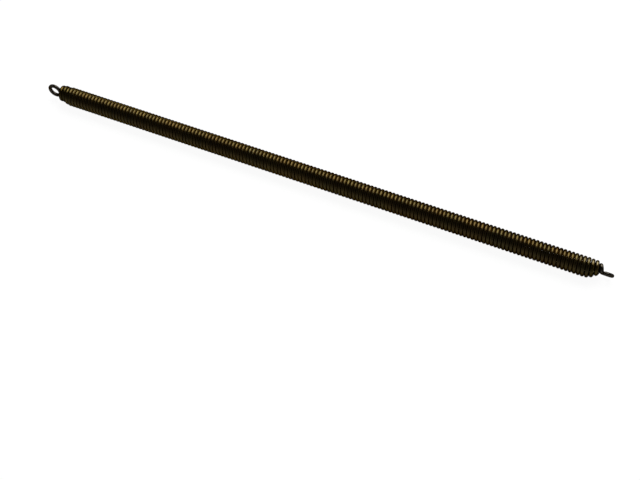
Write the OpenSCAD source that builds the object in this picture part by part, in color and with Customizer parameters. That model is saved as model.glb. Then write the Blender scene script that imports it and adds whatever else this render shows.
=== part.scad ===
// Extension spring: one length of round wire, wound close in a right-hand coil. At each end the last turns
// are drawn in on one side, and the wire crosses the middle of the coil and is bent out into a loop.
// The spring lies along X on the plane Z = 0, with the middle of its length over the origin.

/* [Wire] */
// Thickness of the wire
wire_d = 1; // [0.8:0.05:1.05]

/* [Coil] */
// Outside diameter of the coil
coil_od = 5.25; // [5:0.05:8]
// Turns at the full diameter
full_turns = 145; // [10:1:145]
// Gap from one turn to the next, too small to see light through
turn_gap = 0.02; // [0.01:0.01:0.3]
// The same gap between the turns that are drawn in at the ends
drawn_gap = 0.04; // [0.04:0.01:0.3]

/* [Left end] */
// How far inside the full diameter the wire is after each half turn, from the coil outwards
left_draws = [0, 0.19, 0.19, 0.52, 0.08, 0.56, 0.29]; // [0:0.01:1]
// Extra length along the coil in which the wire reaches the middle
left_room = 0.04; // [0:0.01:1]
// Outside diameter of the loop
left_loop_od = 4.3; // [3.8:0.1:5]
// Angle that the wire turns past the middle before the loop begins
left_turn = 13.5; // [2:0.5:30]
// Angle that the wire goes round the loop
left_sweep = 300; // [200:5:305]

/* [Right end] */
// How far inside the full diameter the wire is after each half turn, from the coil outwards
right_draws = [0, 0.09, 0.05, 0.5, 0.05, 1.23, 0.49]; // [0:0.01:1.3]
// Extra length along the coil in which the wire reaches the middle
right_room = 0.16; // [0:0.01:1]
// Outside diameter of the loop
right_loop_od = 3.7; // [3.6:0.1:5]
// Angle that the wire turns past the middle before the loop begins
right_turn = 23; // [2:0.5:30]
// Angle that the wire goes round the loop
right_sweep = 295; // [200:5:295]

/* [Rest] */
// Angle by which the spring has rolled about its length
roll = -79; // [-180:0.5:180]

/* [Hidden] */
wire_facets = 24;
turn_facets = 72;
coil_r = (coil_od - wire_d) / 2;
pitch = wire_d + turn_gap;
slope = asin(pitch / 4 / coil_r);
rise = 2 * coil_r * cos(slope);
half_turns = 2 * full_turns;
// How far along the coil the wire goes in a half turn that is drawn in
drawn_advance = (wire_d + drawn_gap) / 2;
// The lowest point of the coil when it has rolled
rest_height = wire_d / 2 + norm([coil_r * sin(roll), rise / 2 * cos(roll)]);

function heading(reach) = -atan2(reach[1], reach[0]);
function inset(draws, n) = n < 0 ? 0 : draws[n];
function high_point(draws) = draws[len(draws) - 1];
function crossing(draws, room) = [drawn_advance + room, high_point(draws) - rise / 2];
function loop_radius(loop_od) = (loop_od - wire_d) / 2;
function loop_lean(aim, turned) = atan2(-sin(aim), cos(aim) * cos(turned));

// How far a loop's tip is from the end of the full turns
function tip(draws, room, loop_od, turned) =
    drawn_advance * len(draws)
    + crossing(draws, room)[0] * (1 + cos(turned)) / 2
    + loop_radius(loop_od) * (1 + sqrt(1 - pow(sin(turned) * cos(heading(crossing(draws, room))), 2)))
    + wire_d / 2;

off_middle = tip(left_draws, left_room, left_loop_od, left_turn) / 2
    - tip(right_draws, right_room, right_loop_od, right_turn) / 2;

// Wire bent round the Z axis, from the X axis on
module bent_wire(bend_r, sweep) {
    rotate_extrude(angle = sweep, $fn = turn_facets)
        translate([bend_r, 0])
            circle(d = wire_d, $fn = wire_facets);
}

// Half a turn from the origin to a point in the XZ plane, behind that plane (1) or in front of it (-1),
// with what follows placed at its far end
module half_turn(reach, side) {
    bend_r = norm(reach) / 2;
    rotate([0, heading(reach), 0])
        translate([bend_r, 0, 0]) {
            rotate([side > 0 ? 0 : 180, 0, 0])
                bent_wire(bend_r, 180);
            translate([bend_r, 0, 0])
                rotate([0, -heading(reach), 0])
                    children();
        }
}

// One half turn of the full diameter, counted from the left
module coil_half(n) {
    translate([(n + 0.5 - full_turns) * pitch / 2, 0, 0])
        rotate([180 * n, 0, 0])
            rotate([0, slope - 90, 0]) {
                bent_wire(coil_r, 180);
                children();
            }
}

// The half turns of an end, each from a low point to a high one or back
module drawn_turns(draws, n) {
    side = n % 2 == 0 ? 1 : -1;
    if (n < len(draws))
        half_turn([drawn_advance, side * (rise - inset(draws, n - 1) - draws[n])], side)
            drawn_turns(draws, n + 1)
                children();
    else
        children();
}

// The wire from its last high point to the middle of the coil, a little past it, and round the loop
module loop_end(draws, room, loop_od, turned, sweep) {
    reach = crossing(draws, room);
    bend_r = norm(reach) / 2;
    loop_r = loop_radius(loop_od);
    half_turn(reach, -1);
    rotate([0, heading(reach), 0])
        translate([bend_r, 0, 0]) {
            difference() {
                bent_wire(bend_r, 90);
                rotate([0, 0, turned])
                    translate([-coil_od, 0, -coil_od])
                        cube(2 * coil_od);
            }
            rotate([0, 0, turned])
                translate([bend_r, 0, 0])
                    rotate([0, loop_lean(heading(reach), turned), 0])
                        translate([loop_r, 0, 0])
                            rotate([0, 180, 0])
                                bent_wire(loop_r, sweep);
        }
}

module spring() {
    color("dimgray")
        translate([off_middle, 0, rest_height])
            rotate([roll, 0, 0]) {
                for (n = [1 : half_turns - 2])
                    coil_half(n);
                coil_half(half_turns - 1)
                    translate([coil_r, 0, 0])
                        rotate([180, 90 - slope, 0])
                            drawn_turns(right_draws, 0)
                                loop_end(right_draws, right_room, right_loop_od, right_turn, right_sweep);
                coil_half(0)
                    translate([-coil_r, 0, 0])
                        rotate([0, slope - 90, 180])
                            drawn_turns(left_draws, 0)
                                loop_end(left_draws, left_room, left_loop_od, left_turn, left_sweep);
            }
}

spring();
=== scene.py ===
# The extension spring on a pale floor, seen from above and near its right end, in soft studio light.
import math

import bpy
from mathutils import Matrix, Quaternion, Vector


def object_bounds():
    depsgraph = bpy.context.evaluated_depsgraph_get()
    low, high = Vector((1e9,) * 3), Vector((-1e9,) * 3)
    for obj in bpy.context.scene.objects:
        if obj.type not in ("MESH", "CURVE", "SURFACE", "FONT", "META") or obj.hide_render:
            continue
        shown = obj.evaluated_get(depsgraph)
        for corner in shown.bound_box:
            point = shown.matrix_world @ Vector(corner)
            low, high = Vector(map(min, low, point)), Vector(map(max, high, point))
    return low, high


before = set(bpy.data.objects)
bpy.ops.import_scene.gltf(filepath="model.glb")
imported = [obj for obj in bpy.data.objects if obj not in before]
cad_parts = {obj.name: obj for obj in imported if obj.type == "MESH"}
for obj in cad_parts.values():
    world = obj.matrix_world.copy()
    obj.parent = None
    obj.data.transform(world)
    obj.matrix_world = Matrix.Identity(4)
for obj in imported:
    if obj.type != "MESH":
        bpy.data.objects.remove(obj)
cad_low, cad_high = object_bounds()
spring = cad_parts["spring"]

# Sizes, in metres
MM = 0.001
WIRE = 1.0 * MM
axis_height = (cad_high.z - cad_low.z) / 2
# Where the full turns end, and where the loops begin, measured along the spring from its middle
full_turns_end = cad_high.x - 7.7 * MM
loops_begin = cad_high.x - 4.0 * MM
FLOOR_SIZE = 6.0
FLOOR_GAP = 0.01 * MM

# The bare skin of the wire, from straw to a cold brown, as (place in the clouds, colour)
TEMPER = [
    (0.30, (0.032, 0.0185, 0.0036)), (0.45, (0.039, 0.0240, 0.0050)),
    (0.58, (0.035, 0.0255, 0.0059)), (0.72, (0.031, 0.0255, 0.0098)),
]
# What lies over the skin, and the painted light and shade laid on it, as a colour and how much of it there is
WORN, WORN_SHARE = (0.059, 0.048, 0.0265), 0.5
# Painted highlight on the upper side of the last turns at the right
PAINTED_HIGHLIGHT, PAINTED_HIGHLIGHT_SHARE = (0.105, 0.090, 0.053), 0.8
LOOP_BLACK, LOOP_SHARE = (0.031, 0.028, 0.024), 0.85
# Painted light in the grooves between turns
PAINTED_GROOVE_LIGHT = (0.182, 0.126, 0.036)
# Painted shade on the near side, deeper towards the left end
PAINTED_SHADE, PAINTED_SHADE_SHARE, LEFT_PAINTED_SHADE_SHARE = (0.006, 0.006, 0.006), 0.35, 0.5
EDGE_TINT = (0.22, 0.18, 0.12, 1.0)
ROUGHNESS, STREAK_ROUGHNESS, GRAIN_ROUGHNESS = 0.17, 0.12, 0.08
BUMP_STRENGTH = 0.25
BUMP_DEPTH = 0.004 * MM
# How often each pattern repeats: streaks and turns for each thickness of wire, the others for each metre
STREAK_SCALE, TURN_SCALE, CLOUD_SCALE, GRAIN_SCALE = 9.0, 0.8, 160.0, 5200.0
# How far a streak, or a difference between turns, runs round the coil
STREAK_RUN, TURN_RUN = 0.35, 0.2
STREAK_TONES = [(0.3, 0.72), (0.5, 1.0), (0.72, 1.22)]
TURN_TONES = [(0.32, 0.70), (0.5, 1.0), (0.68, 1.32)]

# Light
WHITE = (1, 1, 1, 1)
PAPER_GLOW = 0.94
PAPER_TONES = [(0.3, 0.062), (0.7, 0.072)]
PAPER_FIBRE_SCALE = 900.0
ROOM_AT_HORIZON = 0.5
ROOM_OVERHEAD = 0.03
# How high above the horizon the room is dark, as the height of a direction one metre long
ROOM_DARK_FROM = 0.85
LAMP_AT = (0.0, 0.43, 0.552)
LAMP_SIZE = (0.8, 0.62)
LAMP_WATTS = 10.5

# The photo's viewpoint
CAMERA_AT = Vector((93.564, -171.173, 247.085)) * MM
CAMERA_AZIMUTH, CAMERA_ELEVATION, CAMERA_TILT = map(math.radians, (28.393, 54.529, -4.635))
CAMERA_LENS = 66.705
CAMERA_SENSOR = 36.0


# Small helpers for node trees
def tree_of(name):
    """A new material and its empty node tree."""
    material = bpy.data.materials.new(name)
    material.use_nodes = True
    tree = material.node_tree
    tree.nodes.clear()
    return material, tree


def add(tree, kind, values=None, **settings):
    """A node with its settings, and values or links for its inputs."""
    node = tree.nodes.new(kind)
    for key, value in settings.items():
        setattr(node, key, value)
    for key, value in (values or {}).items():
        socket = node.inputs[key]
        if isinstance(value, bpy.types.NodeSocket):
            tree.links.new(value, socket)
        else:
            socket.default_value = value
    return node


def math_node(tree, operation, a, b=None, clamp=False):
    """The result of one operation on one or two values."""
    values = {0: a} if b is None else {0: a, 1: b}
    return add(tree, "ShaderNodeMath", values, operation=operation, use_clamp=clamp).outputs[0]


def times(tree, a, b):
    """The product of two values."""
    return math_node(tree, "MULTIPLY", a, b)


def noise(tree, place, scale, detail, roughness=0.5):
    """Noise from 0 to 1 at a place."""
    values = {"Vector": place, "Scale": scale, "Detail": detail, "Roughness": roughness}
    return add(tree, "ShaderNodeTexNoise", values).outputs["Fac"]


def ramp(tree, factor, stops):
    """A colour ramp from a list of (position, grey or colour)."""
    node = add(tree, "ShaderNodeValToRGB", {0: factor})
    elements = node.color_ramp.elements
    while len(elements) < len(stops):
        elements.new(1.0)
    for element, (position, colour) in zip(elements, stops):
        element.position = position
        if isinstance(colour, (int, float)):
            colour = (colour, colour, colour)
        element.color = (*colour, 1.0)
    return node.outputs["Color"]


def fade(tree, value, zero_at, one_at):
    """A smooth step from 0 at one value to 1 at another."""
    if zero_at < one_at:
        ends = {"From Min": zero_at, "From Max": one_at}
    else:
        ends = {"From Min": one_at, "From Max": zero_at, "To Min": 1.0, "To Max": 0.0}
    node = add(tree, "ShaderNodeMapRange", {"Value": value, **ends}, interpolation_type="SMOOTHSTEP")
    return node.outputs["Result"]


def blend(tree, factor, first, second, kind="MIX"):
    """Two colours mixed by a factor, through the colour sockets of the Mix node."""
    first, second = ((*c, 1.0) if isinstance(c, tuple) else c for c in (first, second))
    values = {"Factor": factor, 6: first, 7: second}
    return add(tree, "ShaderNodeMix", values, data_type="RGBA", blend_type=kind).outputs[2]


# Materials
def spring_wire():
    """Dark spring wire: a brown-black oxide skin that shines like bronze where the light strikes it."""
    material, tree = tree_of("spring_wire")
    place = add(tree, "ShaderNodeTexCoord").outputs["Object"]
    centred = add(tree, "ShaderNodeVectorMath", {0: place, 1: (0, 0, -axis_height)}, operation="ADD").outputs[0]
    parts = add(tree, "ShaderNodeSeparateXYZ", {0: centred}).outputs
    flat = add(tree, "ShaderNodeCombineXYZ", {1: parts["Y"], 2: parts["Z"]}).outputs[0]
    from_axis = add(tree, "ShaderNodeVectorMath", {0: flat}, operation="LENGTH").outputs["Value"]
    from_middle = math_node(tree, "ABSOLUTE", parts["X"])
    around = math_node(tree, "ARCTAN2", parts["Z"], parts["Y"])
    wires_along = times(tree, parts["X"], 1 / WIRE)
    # Streaks run along the wire: far apart round the coil, close together along the coil
    along_wire = add(tree, "ShaderNodeCombineXYZ", {
        0: wires_along, 1: times(tree, around, STREAK_RUN), 2: times(tree, from_axis, 1 / WIRE),
    }).outputs[0]
    streaks = noise(tree, along_wire, STREAK_SCALE, 4.0, 0.6)
    # Each turn is a little lighter or darker than the next
    along_coil = add(tree, "ShaderNodeCombineXYZ", {0: wires_along, 1: times(tree, around, TURN_RUN)}).outputs[0]
    turns = noise(tree, along_coil, TURN_SCALE, 1.0)
    clouds = noise(tree, place, CLOUD_SCALE, 3.0, 0.55)
    grain = noise(tree, place, GRAIN_SCALE, 3.0, 0.65)
    # From 0 in the groove between two turns to 1 on the crown of a turn
    crown = fade(tree, from_axis, axis_height - 0.55 * WIRE, axis_height - 0.05 * WIRE)
    worn = times(tree, crown, ramp(tree, grain, [(0.3, 0.0), (0.7, WORN_SHARE)]))
    # Painted light: on the full turns, from just inside the crown down into the groove between turns, the colour
    # is lightened to stand in for light bounced between the turns
    painted_groove_light = fade(tree, from_axis, axis_height - 0.13 * WIRE, axis_height - 0.24 * WIRE)
    painted_groove_light = times(tree, painted_groove_light, fade(tree, from_middle, full_turns_end + 0.8 * WIRE, full_turns_end))
    # The last turns at the right get a painted highlight along their upper side, and the loops are plain black
    far_side = fade(tree, parts["Y"], -0.5 * WIRE, 1.0 * WIRE)
    painted_highlight = fade(tree, parts["X"], full_turns_end - 4.5 * WIRE, full_turns_end + 2.0 * WIRE)
    painted_highlight = times(tree, painted_highlight, far_side)
    looped = fade(tree, from_middle, loops_begin - 0.5 * WIRE, loops_begin + 0.5 * WIRE)
    # Painted shade: the near side is darkened, and darker still towards the left end
    leftwards = fade(tree, parts["X"], 0.0, cad_low.x * 0.6)
    painted_shade = ramp(tree, leftwards, [(0.0, PAINTED_SHADE_SHARE), (1.0, LEFT_PAINTED_SHADE_SHARE)])
    painted_shade = times(tree, painted_shade, fade(tree, parts["Y"], -0.5 * WIRE, -2.0 * WIRE))
    colour = ramp(tree, clouds, TEMPER)
    colour = blend(tree, 1.0, colour, ramp(tree, streaks, STREAK_TONES), "MULTIPLY")
    colour = blend(tree, 1.0, colour, ramp(tree, turns, TURN_TONES), "MULTIPLY")
    colour = blend(tree, worn, colour, WORN)
    colour = blend(tree, times(tree, painted_highlight, PAINTED_HIGHLIGHT_SHARE), colour, PAINTED_HIGHLIGHT)
    colour = blend(tree, times(tree, looped, LOOP_SHARE), colour, LOOP_BLACK)
    colour = blend(tree, painted_groove_light, colour, PAINTED_GROOVE_LIGHT)
    colour = blend(tree, painted_shade, colour, PAINTED_SHADE)
    rough = math_node(tree, "ADD", times(tree, streaks, STREAK_ROUGHNESS), times(tree, grain, GRAIN_ROUGHNESS))
    rough = math_node(tree, "ADD", rough, ROUGHNESS)
    bump = add(tree, "ShaderNodeBump", {
        "Strength": BUMP_STRENGTH, "Distance": BUMP_DEPTH, "Height": math_node(tree, "ADD", streaks, grain),
    }).outputs["Normal"]
    shader = add(tree, "ShaderNodeBsdfPrincipled", {
        "Base Color": colour, "Metallic": 1.0, "Roughness": rough, "Normal": bump, "Specular Tint": EDGE_TINT,
    })
    add(tree, "ShaderNodeOutputMaterial", {"Surface": shader.outputs[0]})
    return material


def floor_paper():
    """Matt paper that glows for the camera and in reflections, over a dark face that takes a faint shadow."""
    material, tree = tree_of("floor_paper")
    place = add(tree, "ShaderNodeTexCoord").outputs["Object"]
    tone = ramp(tree, noise(tree, place, PAPER_FIBRE_SCALE, 4.0), PAPER_TONES)
    paper = add(tree, "ShaderNodeBsdfDiffuse", {"Color": tone})
    rays = add(tree, "ShaderNodeLightPath").outputs
    seen = math_node(tree, "ADD", rays["Is Camera Ray"], rays["Is Glossy Ray"], clamp=True)
    seen = math_node(tree, "ADD", seen, rays["Is Transmission Ray"], clamp=True)
    glow = add(tree, "ShaderNodeEmission", {"Color": WHITE, "Strength": times(tree, seen, PAPER_GLOW)})
    both = add(tree, "ShaderNodeAddShader", {0: paper.outputs[0], 1: glow.outputs[0]})
    add(tree, "ShaderNodeOutputMaterial", {"Surface": both.outputs[0]})
    return material


# The scene round the spring
def make_floor():
    """A wide sheet of paper, a hair under the spring."""
    bpy.ops.mesh.primitive_plane_add(size=FLOOR_SIZE, location=(0, 0, cad_low.z - FLOOR_GAP))
    floor = bpy.context.object
    floor.name = "floor"
    floor.data.materials.append(floor_paper())


def make_room():
    """A room that is grey at the horizon and dark overhead."""
    world = bpy.data.worlds.new("studio")
    world.use_nodes = True
    tree = world.node_tree
    tree.nodes.clear()
    direction = add(tree, "ShaderNodeTexCoord").outputs["Generated"]
    height = add(tree, "ShaderNodeSeparateXYZ", {0: direction}).outputs["Z"]
    level = add(tree, "ShaderNodeMapRange", {
        "Value": height, "From Min": 0.0, "From Max": ROOM_DARK_FROM,
        "To Min": ROOM_AT_HORIZON, "To Max": ROOM_OVERHEAD,
    }, interpolation_type="SMOOTHSTEP").outputs["Result"]
    back = add(tree, "ShaderNodeBackground", {"Color": WHITE, "Strength": level})
    add(tree, "ShaderNodeOutputWorld", {"Surface": back.outputs[0]})
    bpy.context.scene.world = world


def make_lamp():
    """One large soft lamp behind the spring and above it, facing its middle."""
    data = bpy.data.lights.new("back_light", "AREA")
    data.shape = "RECTANGLE"
    data.size, data.size_y = LAMP_SIZE
    data.energy = LAMP_WATTS
    lamp = bpy.data.objects.new("back_light", data)
    lamp.location = LAMP_AT
    lamp.rotation_mode = "QUATERNION"
    lamp.rotation_quaternion = Vector(LAMP_AT).to_track_quat("Z", "Y")
    bpy.context.collection.objects.link(lamp)


def make_camera():
    """From above and to the right, with the spring running down to the right."""
    data = bpy.data.cameras.new("camera")
    data.lens = CAMERA_LENS
    data.sensor_width = CAMERA_SENSOR
    camera = bpy.data.objects.new("camera", data)
    camera.location = CAMERA_AT
    level = math.cos(CAMERA_ELEVATION)
    backwards = Vector((math.sin(CAMERA_AZIMUTH) * level, -math.cos(CAMERA_AZIMUTH) * level,
                        math.sin(CAMERA_ELEVATION)))
    camera.rotation_mode = "QUATERNION"
    camera.rotation_quaternion = backwards.to_track_quat("Z", "Y") @ Quaternion((0, 0, 1), CAMERA_TILT)
    bpy.context.collection.objects.link(camera)
    bpy.context.scene.camera = camera


spring.data.materials.clear()
spring.data.materials.append(spring_wire())
make_floor()
make_room()
make_lamp()
make_camera()
bpy.context.scene.view_settings.view_transform = "Standard"
